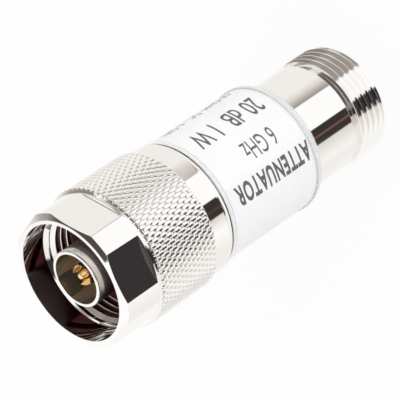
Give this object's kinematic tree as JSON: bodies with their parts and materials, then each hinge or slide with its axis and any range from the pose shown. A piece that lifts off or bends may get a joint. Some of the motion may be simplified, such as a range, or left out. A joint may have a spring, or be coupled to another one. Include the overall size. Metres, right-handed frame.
{
  "type": "coaxial fixed attenuator",
  "caption": "Coaxial fixed attenuator with a knurled, hexagon-flatted plug nut at one end, a label under a clear sleeve, and a threaded jack at the other.",
  "frame": {"origin": "middle of the jack's end face, on which the part stands", "axes": "+Z along the line's axis, from the jack to the plug; the flats of the nut stand 11 degrees from +X"},
  "size_m": [0.02, 0.02, 0.0525],
  "materials": {
    "nickel": "bright nickel plate",
    "gold": "gold plate",
    "bronze": "spring bronze",
    "brass": "turned",
    "case_metal": "turned",
    "insulator": "fluoropolymer",
    "silicone": "silicone",
    "alumina": "fired",
    "film": "printed film",
    "label_paper": "printed label",
    "clear_film": "clear shrink sleeve"
  },
  "bodies": {
    "body": {"plug_gasket": "silicone", "plug_shell": "nickel", "plug_pin": "gold", "plug_bead": "insulator", "plug_line_sleeve": "brass", "case_tube": "case_metal", "carrier_front": "brass", "carrier_back": "brass", "attenuator_chip": "alumina", "resistor_film": "film", "chip_terminals": "gold", "ground_strips": "gold", "input_spring": "gold", "output_spring": "gold", "jack_shell": "nickel", "jack_contact": "gold", "jack_bead": "insulator", "jack_line_sleeve": "brass", "label": "label_paper", "clear_sleeve": "clear_film"},
    "retainer": {"nut_retaining_ring": "bronze"},
    "nut": {"coupling_nut": "nickel"}
  },
  "joints": [
    {"name": "nut_float", "type": "slide", "parent": "body", "child": "retainer", "axis": [0, 0, 1], "range_m": [0, 0.00045]},
    {"name": "nut_spin", "type": "hinge", "parent": "retainer", "child": "nut", "pos_m": [0, 0, 0.0425], "axis": [0, 0, 1], "continuous": true}
  ]
}
